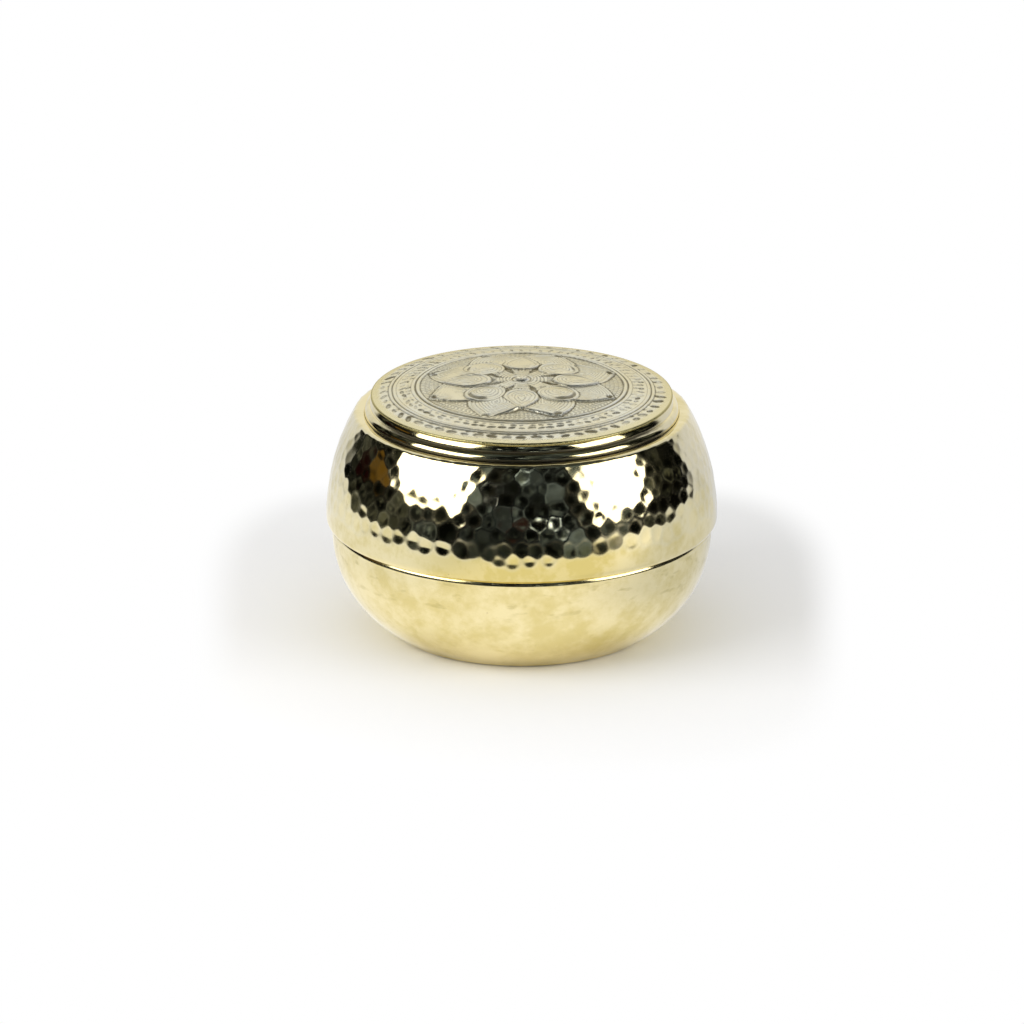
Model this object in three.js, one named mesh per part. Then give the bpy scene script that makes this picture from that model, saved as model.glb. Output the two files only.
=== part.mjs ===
// A round trinket box in hammered brass, with a lift-off lid and a domed, chased plate on top.
// Millimetres, +Z up, the origin at the centre of the flat face that it stands on. The front looks along -Y.
import * as THREE from 'three';

// Driving dimensions
const BELLY_RADIUS = 60;
const SEAM_HEIGHT = 34.3;
const SHEET = 0.9;
const JOINT_GAP = 0.15;
const AROUND = 64;

// The lower bowl, whose wall is a superellipse that reaches down past the foot
const BOWL_RIM_RADIUS = 58.3;
const BOWL_DEPTH = 42;
const BOWL_FULLNESS = 2.3;
const FOOT_RADIUS = 36.2;
const WALL_START = 1.4;

// The bowl's filed rim: a bevel that rounds off the top of the wall, so that the closed seam reads as a groove
const RIM_START = 32.75;
const RIM_BEVEL_RADIUS = 3.1;
const RIM_BEVEL_CENTRE = [55.22, 32.44];
const RIM_BEVEL_START = (Math.PI * 8) / 180;
const RIM_BEVEL_END = (Math.PI * 34) / 180;
const RIM_CREST_RADIUS = 57.57;
const RIM_BURR = 0.1;

// The locating sleeve soldered inside the bowl's rim
const SLEEVE_RADIUS = 57.1;
const SLEEVE_SHEET = 0.8;
const SLEEVE_BOTTOM = 30;
const SLEEVE_TOP = 40.5;
const SLEEVE_LIP = 0.3;

// The lid's hammered dome, an ellipse about the belly, turned in at its rim and flattened at its crown
const BELLY_HEIGHT = 36.4;
const DOME_RISE = 63.5;
const LID_RIM_RADIUS = 58.4;
const LID_RIM_HEIGHT = SEAM_HEIGHT + JOINT_GAP;
const CROWN_START = 68.9;
const CROWN_CORNER = [51.3, 69.35];
const CROWN_HEIGHT = 69.45;
const CROWN_EDGE_RADIUS = 50;
const DOME_OPENING_RADIUS = 45.2;

// The turned collar on the crown: a quarter round below, a gently swelling neck above
const COLLAR_BORE = 44.4;
const COLLAR_FOOT = CROWN_HEIGHT + JOINT_GAP;
const ROLL_RADIUS = 2.5;
const ROLL_CENTRE = [45.75, 69.6];
const ROLL_END = (Math.PI * 66) / 180;
const NECK_SWELL_RADIUS = 4.2;
const NECK_SWELL_CENTRE = [42.4, 71.5];
const NECK_SWELL_START = 0.1;

// The chased plate, domed like a shield
const PLATE_RADIUS = 46.3;
const PLATE_SHEET = 0.8;
const PLATE_SEAT = 74.1;
const PLATE_RISE = 4.8;
const PLATE_AROUND = 96;
const RING_RADII = [40.0, 38.9, 33.4, 31.8];
const RING_HEIGHT = 0.3;
const RING_HALF_WIDTH = 0.35;
const PETALS = 8;
const PETAL_ROOT = 5;
const PETAL_TIP = 30.2;
const PETAL_HALF_WIDTH = 5.6;
const PETAL_HEIGHT = 0.8;
const BUTTON_RADIUS = 2.6;
const BUTTON_HEIGHT = 1.0;

// Solder
const FILLET = 0.8;

const brass = new THREE.MeshStandardMaterial({ color: '#e2c670', roughness: 0.14, metalness: 1 });
const nickelSilver = new THREE.MeshStandardMaterial({ color: '#cfc8ae', roughness: 0.32, metalness: 1 });
const solder = new THREE.MeshStandardMaterial({ color: '#a9a69c', roughness: 0.45, metalness: 1 });

/** The bowl's radius at a height, on its outside or on a wall set in by `inset`. */
function bowlRadius(z, inset = 0) {
  const depth = (SEAM_HEIGHT - z) / (BOWL_DEPTH - inset);
  return (BOWL_RIM_RADIUS - inset) * (1 - depth ** BOWL_FULLNESS) ** (1 / BOWL_FULLNESS);
}

/** The dome's radius at a height, on its outside or on a wall set in by `inset`. */
function domeRadius(z, inset = 0) {
  const rise = (z - BELLY_HEIGHT) / (DOME_RISE - inset);
  return (BELLY_RADIUS - inset) * Math.sqrt(1 - rise * rise);
}

/** The plate's upper face at a radius, before any relief. */
function plateTop(radius) {
  const across = radius / PLATE_RADIUS;
  return PLATE_SEAT + PLATE_SHEET + PLATE_RISE * (1 - across * across);
}

/** The height of the raised petals at a place on the plate: a roof over each petal, highest on its midline. */
function petalRelief(radius, turn) {
  const along = (radius - PETAL_ROOT) / (PETAL_TIP - PETAL_ROOT);
  if (along <= 0 || along >= 1) {
    return 0;
  }
  const pitch = (2 * Math.PI) / PETALS;
  const fromMidline = Math.abs((((turn % pitch) + pitch) % pitch) - pitch / 2) * radius;
  const halfWidth = PETAL_HALF_WIDTH * Math.sin(Math.PI * along ** 1.2);
  return PETAL_HEIGHT * Math.max(0, 1 - fromMidline / halfWidth);
}

/** Points on a quadratic curve from start to end, drawn towards a corner; both ends are included. */
function bend(start, corner, end, steps) {
  const curve = new THREE.QuadraticBezierCurve(...[start, corner, end].map((p) => new THREE.Vector2(...p)));
  return curve.getPoints(steps).map((p) => [p.x, p.y]);
}

/** Points on an arc about a centre, between two angles measured up from the level; both ends are included. */
function arc([centreRadius, centreHeight], size, from, to, steps) {
  const points = [];
  for (let i = 0; i <= steps; i += 1) {
    const angle = from + ((to - from) * i) / steps;
    points.push([centreRadius + size * Math.cos(angle), centreHeight + size * Math.sin(angle)]);
  }
  return points;
}

/** Points on a wall between two heights, its radius given by a function of height; both ends are included. */
function wall(radiusAt, from, to, steps) {
  const points = [];
  for (let i = 0; i <= steps; i += 1) {
    const z = from + ((to - from) * i) / steps;
    points.push([radiusAt(z), z]);
  }
  return points;
}

/** Turns a profile of [radius, height] pairs about +Z. The profile runs up the outside and down the inside. */
function turned(profile, around = AROUND) {
  const points = profile.map(([radius, height]) => new THREE.Vector2(radius, height));
  return new THREE.LatheGeometry(points, around).rotateX(Math.PI / 2);
}

/** A ring turned from a profile that closes on itself. */
function ring(profile) {
  return turned([...profile, profile[0]]);
}

/** A ring of solder in the upper outer corner at a radius and height. */
function fillet(outer, top) {
  return ring([
    [outer, top - FILLET],
    [outer, top],
    [outer - FILLET, top],
  ]);
}

function bowl() {
  const wallStart = [bowlRadius(WALL_START), WALL_START];
  const insideStart = WALL_START + SHEET;
  return turned([
    [0, 0],
    ...bend([FOOT_RADIUS, 0], [FOOT_RADIUS + 3, 0], wallStart, 3),
    ...wall((z) => bowlRadius(z), WALL_START, RIM_START, 9).slice(1),
    ...arc(RIM_BEVEL_CENTRE, RIM_BEVEL_RADIUS, RIM_BEVEL_START, RIM_BEVEL_END, 3),
    [RIM_CREST_RADIUS, SEAM_HEIGHT],
    ...wall((z) => bowlRadius(z, SHEET), SEAM_HEIGHT - RIM_BURR, insideStart, 8),
    [FOOT_RADIUS, SHEET],
    [0, SHEET],
  ]);
}

function locatingSleeve() {
  const inner = SLEEVE_RADIUS - SLEEVE_SHEET;
  return ring([
    [inner, SLEEVE_BOTTOM],
    [SLEEVE_RADIUS, SLEEVE_BOTTOM],
    [SLEEVE_RADIUS, SLEEVE_TOP - SLEEVE_LIP * 3],
    [SLEEVE_RADIUS - SLEEVE_LIP, SLEEVE_TOP],
    [inner, SLEEVE_TOP],
  ]);
}

function sleeveSolder() {
  const top = SLEEVE_BOTTOM - JOINT_GAP;
  return fillet(bowlRadius(top - FILLET, SHEET) - JOINT_GAP, top);
}

function lidDome() {
  const crownStart = [domeRadius(CROWN_START), CROWN_START];
  const insideStart = CROWN_START - SHEET;
  return ring([
    ...bend([LID_RIM_RADIUS, LID_RIM_HEIGHT], [BELLY_RADIUS, LID_RIM_HEIGHT], [BELLY_RADIUS, BELLY_HEIGHT], 3),
    ...wall((z) => domeRadius(z), BELLY_HEIGHT, CROWN_START, 8).slice(1),
    ...bend(crownStart, CROWN_CORNER, [CROWN_EDGE_RADIUS, CROWN_HEIGHT], 3).slice(1),
    [DOME_OPENING_RADIUS, CROWN_HEIGHT],
    [DOME_OPENING_RADIUS, CROWN_HEIGHT - SHEET],
    [CROWN_EDGE_RADIUS, CROWN_HEIGHT - SHEET],
    ...wall((z) => domeRadius(z, SHEET), insideStart, BELLY_HEIGHT, 7),
    [LID_RIM_RADIUS - SHEET, LID_RIM_HEIGHT],
  ]);
}

function neckCollar() {
  const top = PLATE_SEAT - JOINT_GAP;
  const rollStart = Math.asin((COLLAR_FOOT - ROLL_CENTRE[1]) / ROLL_RADIUS);
  const neckEnd = Math.asin((top - NECK_SWELL_CENTRE[1]) / NECK_SWELL_RADIUS);
  return ring([
    [COLLAR_BORE, COLLAR_FOOT],
    ...arc(ROLL_CENTRE, ROLL_RADIUS, rollStart, ROLL_END, 4),
    ...arc(NECK_SWELL_CENTRE, NECK_SWELL_RADIUS, NECK_SWELL_START, neckEnd, 4),
    [COLLAR_BORE, top],
  ]);
}

function collarSolder() {
  return fillet(DOME_OPENING_RADIUS - JOINT_GAP, COLLAR_FOOT - JOINT_GAP);
}

/** The chased plate: a turned shield with two pairs of rings and a button, then the petals raised on its top. */
function chasedPlate() {
  const bottom = [];
  for (const radius of [0, 16, 28, 37, COLLAR_BORE]) {
    bottom.push([radius, Math.max(PLATE_SEAT, plateTop(radius) - PLATE_SHEET)]);
  }
  const top = [];
  for (const radius of RING_RADII) {
    const [outer, inner] = [radius + RING_HALF_WIDTH, radius - RING_HALF_WIDTH];
    top.push([outer, plateTop(outer)], [radius, plateTop(radius) + RING_HEIGHT], [inner, plateTop(inner)]);
  }
  for (const along of [1, 0.8, 0.6, 0.4, 0.2, 0]) {
    const radius = PETAL_ROOT + (PETAL_TIP - PETAL_ROOT) * along;
    top.push([radius, plateTop(radius)]);
  }
  const geometry = turned([
    ...bottom,
    [PLATE_RADIUS - 0.2, PLATE_SEAT],
    [PLATE_RADIUS, PLATE_SEAT + PLATE_SHEET / 2],
    [PLATE_RADIUS - 0.2, PLATE_SEAT + PLATE_SHEET],
    ...top,
    [BUTTON_RADIUS, plateTop(BUTTON_RADIUS)],
    [BUTTON_RADIUS * 0.8, plateTop(0) + BUTTON_HEIGHT * 0.7],
    [0, plateTop(0) + BUTTON_HEIGHT],
  ], PLATE_AROUND);
  const place = geometry.getAttribute('position');
  for (let i = 0; i < place.count; i += 1) {
    const radius = Math.hypot(place.getX(i), place.getY(i));
    if (place.getZ(i) > plateTop(radius) - PLATE_SHEET / 2) {
      place.setZ(i, place.getZ(i) + petalRelief(radius, Math.atan2(place.getY(i), place.getX(i))));
    }
  }
  return geometry;
}

function plateSolder() {
  return fillet(COLLAR_BORE - JOINT_GAP, PLATE_SEAT - JOINT_GAP);
}

function piece(name, geometry, material) {
  const mesh = new THREE.Mesh(geometry, material);
  mesh.name = name;
  return mesh;
}

const lowerBody = new THREE.Group();
lowerBody.add(
  piece('bowl', bowl(), brass),
  piece('locating_sleeve', locatingSleeve(), brass),
  piece('sleeve_solder', sleeveSolder(), solder),
);

const lid = new THREE.Group();
lid.add(
  piece('lid_dome', lidDome(), brass),
  piece('neck_collar', neckCollar(), brass),
  piece('collar_solder', collarSolder(), solder),
  piece('chased_plate', chasedPlate(), nickelSilver),
  piece('plate_solder', plateSolder(), solder),
);

const box = new THREE.Group();
box.add(lowerBody, lid);

export default box;
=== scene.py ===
"""A round trinket box in hammered brass with a chased, silvery plate on its lift-off lid.

Every piece of metal is a surface of two parameters: along a turned profile, and round the box's axis.
The hammer marks of the lid and the chasing of the plate are real relief in those surfaces.
"""

import math

import bpy
import mathutils
import numpy as np
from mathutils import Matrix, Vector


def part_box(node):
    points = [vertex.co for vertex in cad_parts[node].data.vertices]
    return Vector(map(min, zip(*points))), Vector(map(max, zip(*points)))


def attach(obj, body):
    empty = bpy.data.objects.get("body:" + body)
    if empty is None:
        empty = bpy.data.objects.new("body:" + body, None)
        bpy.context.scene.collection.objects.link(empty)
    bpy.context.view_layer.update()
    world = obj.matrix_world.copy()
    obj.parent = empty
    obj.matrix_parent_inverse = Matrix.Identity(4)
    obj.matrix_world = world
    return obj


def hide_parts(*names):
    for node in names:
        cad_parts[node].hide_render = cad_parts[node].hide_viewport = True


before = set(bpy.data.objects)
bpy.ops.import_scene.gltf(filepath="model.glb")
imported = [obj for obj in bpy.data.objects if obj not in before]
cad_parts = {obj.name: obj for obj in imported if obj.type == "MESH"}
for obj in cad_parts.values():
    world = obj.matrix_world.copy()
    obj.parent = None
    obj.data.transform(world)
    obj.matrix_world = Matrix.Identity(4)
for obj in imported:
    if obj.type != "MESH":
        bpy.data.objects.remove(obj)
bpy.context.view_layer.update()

MM = 0.001

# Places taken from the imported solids
BOWL_RIM_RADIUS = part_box("bowl")[1].x
SEAM_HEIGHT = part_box("bowl")[1].z
SLEEVE_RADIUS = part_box("locating_sleeve")[1].x
SLEEVE_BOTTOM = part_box("locating_sleeve")[0].z
SLEEVE_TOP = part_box("locating_sleeve")[1].z
BELLY_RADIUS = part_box("lid_dome")[1].x
LID_RIM_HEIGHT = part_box("lid_dome")[0].z
CROWN_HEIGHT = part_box("lid_dome")[1].z
COLLAR_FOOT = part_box("neck_collar")[0].z
COLLAR_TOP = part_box("neck_collar")[1].z
PLATE_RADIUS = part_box("chased_plate")[1].x
PLATE_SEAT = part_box("chased_plate")[0].z
PLATE_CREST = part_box("chased_plate")[1].z

# The same driving dimensions as the solids
SHEET = 0.9 * MM
JOINT_GAP = 0.15 * MM
BOWL_DEPTH = 42 * MM
BOWL_FULLNESS = 2.3
FOOT_RADIUS = 36.2 * MM
WALL_START = 1.4 * MM
# The bowl's filed rim: the size of each bend, and the slope in degrees that its face turns from and to
RIM_BENDS = ((0.8 * MM, 0, 8), (3.1 * MM, 8, 34), (0.3 * MM, 34, 85))
SLEEVE_SHEET = 0.8 * MM
BELLY_HEIGHT = 36.4 * MM
DOME_RISE = 63.5 * MM
LID_RIM_RADIUS = 58.4 * MM
CROWN_START = 68.9 * MM
CROWN_CORNER = (51.3 * MM, 69.35 * MM)
CROWN_EDGE_RADIUS = 50 * MM
DOME_OPENING_RADIUS = 45.2 * MM
COLLAR_BORE = 44.4 * MM
ROLL_RADIUS = 2.5 * MM
ROLL_CENTRE = (45.75 * MM, 69.6 * MM)
ROLL_END = math.radians(66)
NECK_SWELL_RADIUS = 4.2 * MM
NECK_SWELL_CENTRE = (42.4 * MM, 71.5 * MM)
NECK_SWELL_START = 0.1
PLATE_SHEET = 0.8 * MM
PLATE_RISE = 4.8 * MM
FILLET = 0.8 * MM

# Finer roundings than the solids have, and the radius of the first ring round a pole
EASE = 0.1 * MM
POLE_RING = 2 * MM
FOOT_BEND = 1 * MM
FOOT_FLARE = 3 * MM
FLOOR_BEND = 3 * MM
FLOOR_FLARE = 2 * MM

AROUND = 384


# Surfaces


def woven(name, points, start_pole=None, end_pole=None, closed=False):
    """A mesh through a grid of points, whose columns go once round the axis and meet.

    Each cell of the grid is one four-sided face. The first and last rows are closed by fans to a pole each,
    or, on a closed profile, by cells between the last row and the first.
    """
    rows, columns = points.shape[:2]
    index = np.arange(rows * columns).reshape(rows, columns)
    nearer = index if closed else index[:-1]
    further = np.roll(index, -1, axis=0) if closed else index[1:]
    quads = np.stack(
        [nearer, np.roll(nearer, -1, axis=1), np.roll(further, -1, axis=1), further], axis=-1
    ).reshape(-1, 4)
    corners = [quads.ravel()]
    sizes = [np.full(len(quads), 4)]
    places = [points.reshape(-1, 3)]
    count = rows * columns
    for pole, ring, step in ((start_pole, index[0], -1), (end_pole, index[-1], 1)):
        if pole is None:
            continue
        fan = np.stack([ring, np.roll(ring, -1), np.full(columns, count)], axis=-1)
        corners.append((fan if step == 1 else fan[:, ::-1]).ravel())
        sizes.append(np.full(columns, 3))
        places.append(np.array([pole]))
        count += 1
    corners = np.concatenate(corners).astype(np.int32)
    sizes = np.concatenate(sizes)
    mesh = bpy.data.meshes.new(name)
    mesh.vertices.add(count)
    mesh.vertices.foreach_set("co", np.concatenate(places).astype(np.float32).ravel())
    mesh.loops.add(len(corners))
    mesh.loops.foreach_set("vertex_index", corners)
    mesh.polygons.add(len(sizes))
    mesh.polygons.foreach_set("loop_start", (np.cumsum(sizes) - sizes).astype(np.int32))
    mesh.update(calc_edges=True)
    mesh.polygons.foreach_set("use_smooth", np.ones(len(sizes), bool))
    piece = bpy.data.objects.new(name, mesh)
    bpy.context.scene.collection.objects.link(piece)
    return piece


def turns(columns=AROUND):
    """The turns of the columns round the axis, as one row."""
    return np.linspace(0, 2 * math.pi, columns, endpoint=False)[None, :]


def turned_points(radii, heights, columns=AROUND):
    """The grid of a profile turned round the axis: x = r cos t, y = r sin t, z = h.

    Radii and heights are one value a row, or a whole grid where the surface has relief.
    """
    turn = turns(columns)
    radii = np.asarray(radii, float).reshape(len(radii), -1)
    heights = np.asarray(heights, float).reshape(len(heights), -1) + 0 * turn
    return np.stack([radii * np.cos(turn), radii * np.sin(turn), heights], axis=-1)


def turned_piece(name, profile, columns=AROUND, **ends):
    """A piece that is one plain profile turned round the axis."""
    return woven(name, turned_points(profile[:, 0], profile[:, 1], columns), **ends)


def plain_rows(profile, columns):
    """The radii and the heights of a profile without relief, each repeated for every column."""
    return np.repeat(profile.T[:, :, None], columns, axis=2)


def curve(start, corner, end, steps):
    """Points on the quadratic curve from start to end, drawn towards a corner."""
    share = np.linspace(0, 1, steps + 1)[:, None]
    start, corner, end = (np.asarray(p, float) for p in (start, corner, end))
    return start * (1 - share) ** 2 + corner * 2 * share * (1 - share) + end * share**2


def rounded(profile, bevel):
    """A profile with each corner softened: a short arc of four points in place of each inner point.

    The arc is the quadratic curve from one bevel before the corner to one bevel after it.
    """
    profile = np.asarray(profile, float)
    before, corner, after = profile[:-2], profile[1:-1], profile[2:]
    into = corner - before
    out = after - corner
    into_length = np.linalg.norm(into, axis=1, keepdims=True)
    out_length = np.linalg.norm(out, axis=1, keepdims=True)
    start = corner - into / into_length * np.minimum(bevel, into_length * 0.45)
    end = corner + out / out_length * np.minimum(bevel, out_length * 0.45)
    arcs = curve(start[:, None], corner[:, None], end[:, None], steps=3)
    return np.concatenate([profile[:1], arcs.reshape(-1, 2), profile[-1:]])


def arc(centre, size, first, last, steps):
    """Points on an arc about a centre between two angles measured up from the level."""
    angle = np.linspace(first, last, steps + 1)
    return np.stack([centre[0] + size * np.cos(angle), centre[1] + size * np.sin(angle)], axis=-1)


def bent(bends, steps):
    """Points on a chain of arcs that starts at the origin and leans in: each has a size and two angles.

    Their heights and widths follow from sizes times differences of sines and cosines.
    """
    points = [np.zeros((1, 2))]
    for size, first, last in bends:
        piece = arc((0, 0), size, math.radians(first), math.radians(last), steps)
        points.append(piece[1:] - piece[0] + points[-1][-1])
    return np.concatenate(points)


def wall(radius_at, low, high, steps):
    """Points on a wall between two heights, its radius given by a function of height."""
    height = np.linspace(low, high, steps + 1)
    return np.stack([radius_at(height), height], axis=-1)


def bowl_radius(height, inset=0.0):
    """The bowl's radius at a height: a superellipse that reaches down past the foot."""
    depth = (SEAM_HEIGHT - height) / (BOWL_DEPTH - inset)
    return (BOWL_RIM_RADIUS - inset) * (1 - np.abs(depth) ** BOWL_FULLNESS) ** (1 / BOWL_FULLNESS)


def dome_radius(height, inset=0.0):
    """The dome's radius at a height: an ellipse about the belly."""
    rise = (height - BELLY_HEIGHT) / (DOME_RISE - inset)
    return (BELLY_RADIUS - inset) * np.sqrt(1 - rise * rise)


def wrapped(angle, period):
    """An angle brought to within half a period of nought."""
    return (angle + period / 2) % period - period / 2


def eased(value):
    """Nought below nought, one above one, and the smooth cubic 3v^2 - 2v^3 between."""
    value = np.clip(value, 0, 1)
    return value * value * (3 - 2 * value)


def bell(distance, half_width):
    """One at distance nought, falling off as a bell curve of that half width."""
    return np.exp(-((distance / half_width) ** 2))


def remember(piece, name, values, poles=0):
    """Stores one number a vertex on a piece, for its finish to read. Poles come last and get nought."""
    attribute = piece.data.attributes.new(name, "FLOAT", "POINT")
    flat = np.concatenate([np.asarray(values, float).ravel(), np.zeros(poles)])
    attribute.data.foreach_set("value", flat.astype(np.float32))


# Hammer marks

HAMMER_SEED = 11
BLOWS_ROUND = 74
BLOW_ROWS = 9
FIRST_ROW_HEIGHT = 41.3 * MM
FIRST_ROW_GAP = 3.7 * MM
LOWEST_ROW_PITCH = 4.1 * MM
HIGHEST_ROW_PITCH = 3.15 * MM
BLOW_DEPTH = 0.15 * MM
BLOW_DEPTH_SPREAD = 0.008 * MM
BLOW_HOLLOW = 32.0
BLOW_HOLLOW_SPREAD = 5.0
BLOW_TILT = math.radians(1.0)
LOW_ROW_TILT = math.radians(1.2)
LOW_ROW_HOLLOW = 1.4
BLOW_SLIP = 0.06
# The lowest row was only struck along a few stretches, and more lightly
UNSTRUCK = -1.0
LOW_STRETCHES = 4
LOW_STRETCH_START = math.radians(89)
LOW_STRETCH_LIMIT = 0.75
LOW_ROW_FORCES = (0.6, 0.85)
RIDGE_SHARPNESS = 46 / MM
RIDGE_WIDTH_SHARPNESS = 15 / MM


def hammered_depth(arc_length, turn, radius, first):
    """How deep the hammer has sunk the sheet at each place, and how near a ridge between two blows it is.

    Each blow leaves a shallow round dish, depth - hollow * distance^2 / 2 + tilt, about its own centre.
    The centres stand in rows like bricks, a little out of line. The lowest row has marks only where a cosine
    of the turn is near its crest, and they are tighter and tilted. The sheet takes the deepest dish, softly:
    log(sum(exp(sharpness * dish))) / sharpness, with the untouched sheet as one more dish of depth nought.
    The dishes meet in ridges, so the rows read as a honeycomb. A place is near a ridge where no dish leads:
    2 * (1 - the greatest exponential / their sum), with a lower sharpness.
    """
    rng = np.random.default_rng(HAMMER_SEED)
    shape = (BLOW_ROWS, BLOWS_ROUND)
    pitches = np.linspace(LOWEST_ROW_PITCH, HIGHEST_ROW_PITCH, BLOW_ROWS - 2)
    row_arc = first + np.concatenate([[0], FIRST_ROW_GAP + np.concatenate([[0], np.cumsum(pitches)])])
    spacing = 2 * math.pi / BLOWS_ROUND
    slip_round = rng.normal(0, BLOW_SLIP, shape) * spacing * BELLY_RADIUS
    slip_up = rng.normal(0, BLOW_SLIP, shape) * LOWEST_ROW_PITCH
    depth = BLOW_DEPTH + rng.normal(0, BLOW_DEPTH_SPREAD, shape)
    hollow = BLOW_HOLLOW + rng.normal(0, BLOW_HOLLOW_SPREAD, shape)
    tilt_round = rng.normal(0, BLOW_TILT, shape)
    tilt_up = rng.normal(0, BLOW_TILT, shape)
    low_turn = np.arange(BLOWS_ROUND) * spacing + LOW_STRETCH_START
    stretch = np.cos(LOW_STRETCHES * low_turn) > LOW_STRETCH_LIMIT
    depth[0] *= np.where(stretch, rng.uniform(*LOW_ROW_FORCES, BLOWS_ROUND), UNSTRUCK)
    tilt_up[0] += LOW_ROW_TILT
    hollow[0] *= LOW_ROW_HOLLOW
    arc_grid = arc_length + 0 * turn
    row_at = np.interp(arc_grid, row_arc, np.arange(BLOW_ROWS), left=0, right=BLOW_ROWS - 1)
    nearest_row = np.round(row_at).astype(int)
    total = np.ones_like(arc_grid)
    wide_total = np.ones_like(arc_grid)
    deepest = np.ones_like(arc_grid)
    for row_step in (-1, 0, 1):
        row = nearest_row + row_step
        known = (row >= 0) & (row < BLOW_ROWS)
        row = np.clip(row, 0, BLOW_ROWS - 1)
        shift = 0.5 * (row % 2)
        nearest_blow = np.round(turn / spacing - shift).astype(int)
        for blow_step in (-1, 0, 1):
            blow = (nearest_blow + blow_step) % BLOWS_ROUND
            home = (nearest_blow + blow_step + shift) * spacing
            east = wrapped(turn - home, 2 * math.pi) * radius - slip_round[row, blow]
            north = arc_grid - row_arc[row] - slip_up[row, blow]
            dish = (
                depth[row, blow]
                - hollow[row, blow] * (east * east + north * north) / 2
                + tilt_round[row, blow] * east
                + tilt_up[row, blow] * north
            )
            total += np.where(known, np.exp(RIDGE_SHARPNESS * dish), 0)
            wide = np.where(known, np.exp(RIDGE_WIDTH_SHARPNESS * dish), 0)
            wide_total += wide
            deepest = np.maximum(deepest, wide)
    return np.log(total) / RIDGE_SHARPNESS, 2 * (1 - deepest / wide_total)


# The pieces of the lower body


def make_bowl():
    """The spun bowl: foot, wall, filed rim, inner wall and floor, as one profile turned round the axis."""
    wall_foot = (bowl_radius(WALL_START), WALL_START)
    rim = bent(RIM_BENDS, steps=8)
    rim_low = SEAM_HEIGHT - rim[-1, 1]
    rim_in = (BOWL_RIM_RADIUS - SHEET, SEAM_HEIGHT - EASE)
    inside_start = WALL_START + SHEET
    profile = np.concatenate([
        np.linspace((POLE_RING, 0), (FOOT_RADIUS - FOOT_BEND, 0), 14),
        curve((FOOT_RADIUS, 0), (FOOT_RADIUS + FOOT_FLARE, 0), wall_foot, steps=8),
        wall(bowl_radius, WALL_START, rim_low, steps=60)[1:],
        rim[1:] + (BOWL_RIM_RADIUS, rim_low),
        [rim_in],
        wall(lambda height: bowl_radius(height, SHEET), rim_low, inside_start, steps=40),
        curve((bowl_radius(inside_start, SHEET), inside_start), (FOOT_RADIUS + FLOOR_FLARE, SHEET),
              (FOOT_RADIUS - FOOT_BEND, SHEET), steps=6)[1:],
        np.linspace((FOOT_RADIUS - FLOOR_BEND, SHEET), (POLE_RING, SHEET), 10),
    ])
    return turned_piece("bowl_spun", profile, start_pole=(0, 0, 0), end_pole=(0, 0, SHEET))


def make_sleeve():
    """The locating sleeve: a thin upright band with its top edge eased, turned round the axis."""
    inner = SLEEVE_RADIUS - SLEEVE_SHEET
    half_way = (SLEEVE_BOTTOM + SLEEVE_TOP) / 2
    lip = 0.3 * MM
    outline = [
        (inner, half_way),
        (inner, SLEEVE_BOTTOM),
        (SLEEVE_RADIUS, SLEEVE_BOTTOM),
        (SLEEVE_RADIUS, SLEEVE_TOP - 3 * lip),
        (SLEEVE_RADIUS - lip, SLEEVE_TOP),
        (inner, SLEEVE_TOP),
        (inner, half_way),
    ]
    return turned_piece("sleeve_strip", rounded(outline, bevel=0.15 * MM)[:-1], closed=True)


# A solder seam's section in shares of its size, inwards and downwards, and the waves that its size wavers by
FILLET_SECTION = ((0.5, 0), (1, 0.02), (0.62, 0.42), (0.35, 0.32), (0, 0), (0.02, 0.5), (0, 1))
FILLET_MEAN = 0.86
FILLET_WAVES = (3, 7, 13, 29)
FILLET_WAVE_SIZES = (0.02, 0.07)


def make_fillet(name, outer, top, seed):
    """A seam of solder in the corner at a radius and height, whose size wavers round the axis.

    The waver is a sum of a few sine waves of the turn, so it closes on itself.
    """
    rng = np.random.default_rng(seed)
    turn = turns()
    waver = sum(rng.uniform(*FILLET_WAVE_SIZES) * np.sin(k * turn + rng.uniform(0, 6)) for k in FILLET_WAVES)
    size = FILLET * (FILLET_MEAN + waver)
    section = np.array(FILLET_SECTION)
    radii = outer - section[:, :1] * size
    heights = top - section[:, 1:] * size
    return woven(name, turned_points(radii, heights), closed=True)


# The pieces of the lid


def dome_outside():
    """The dome's outer profile from its rim, up over the belly and the crown, to the edge of its opening."""
    rim_curve = curve((LID_RIM_RADIUS, LID_RIM_HEIGHT), (BELLY_RADIUS, LID_RIM_HEIGHT),
                      (BELLY_RADIUS, BELLY_HEIGHT), steps=12)
    crown_start = (dome_radius(CROWN_START), CROWN_START)
    crown_curve = curve(crown_start, CROWN_CORNER, (CROWN_EDGE_RADIUS, CROWN_HEIGHT), steps=12)
    return np.concatenate([
        rim_curve,
        wall(dome_radius, BELLY_HEIGHT, CROWN_START, steps=80)[1:],
        crown_curve[1:],
        [(DOME_OPENING_RADIUS, CROWN_HEIGHT)],
    ])


COLUMNS_A_BLOW = 12
# How far the marks reach below the first row's centres, and how they fade out at the crown's corner
MARKS_BELOW = 3.2 * MM
MARKS_PAST_CROWN = 0.5 * MM
MARKS_FADE = 1.0 * MM


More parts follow.
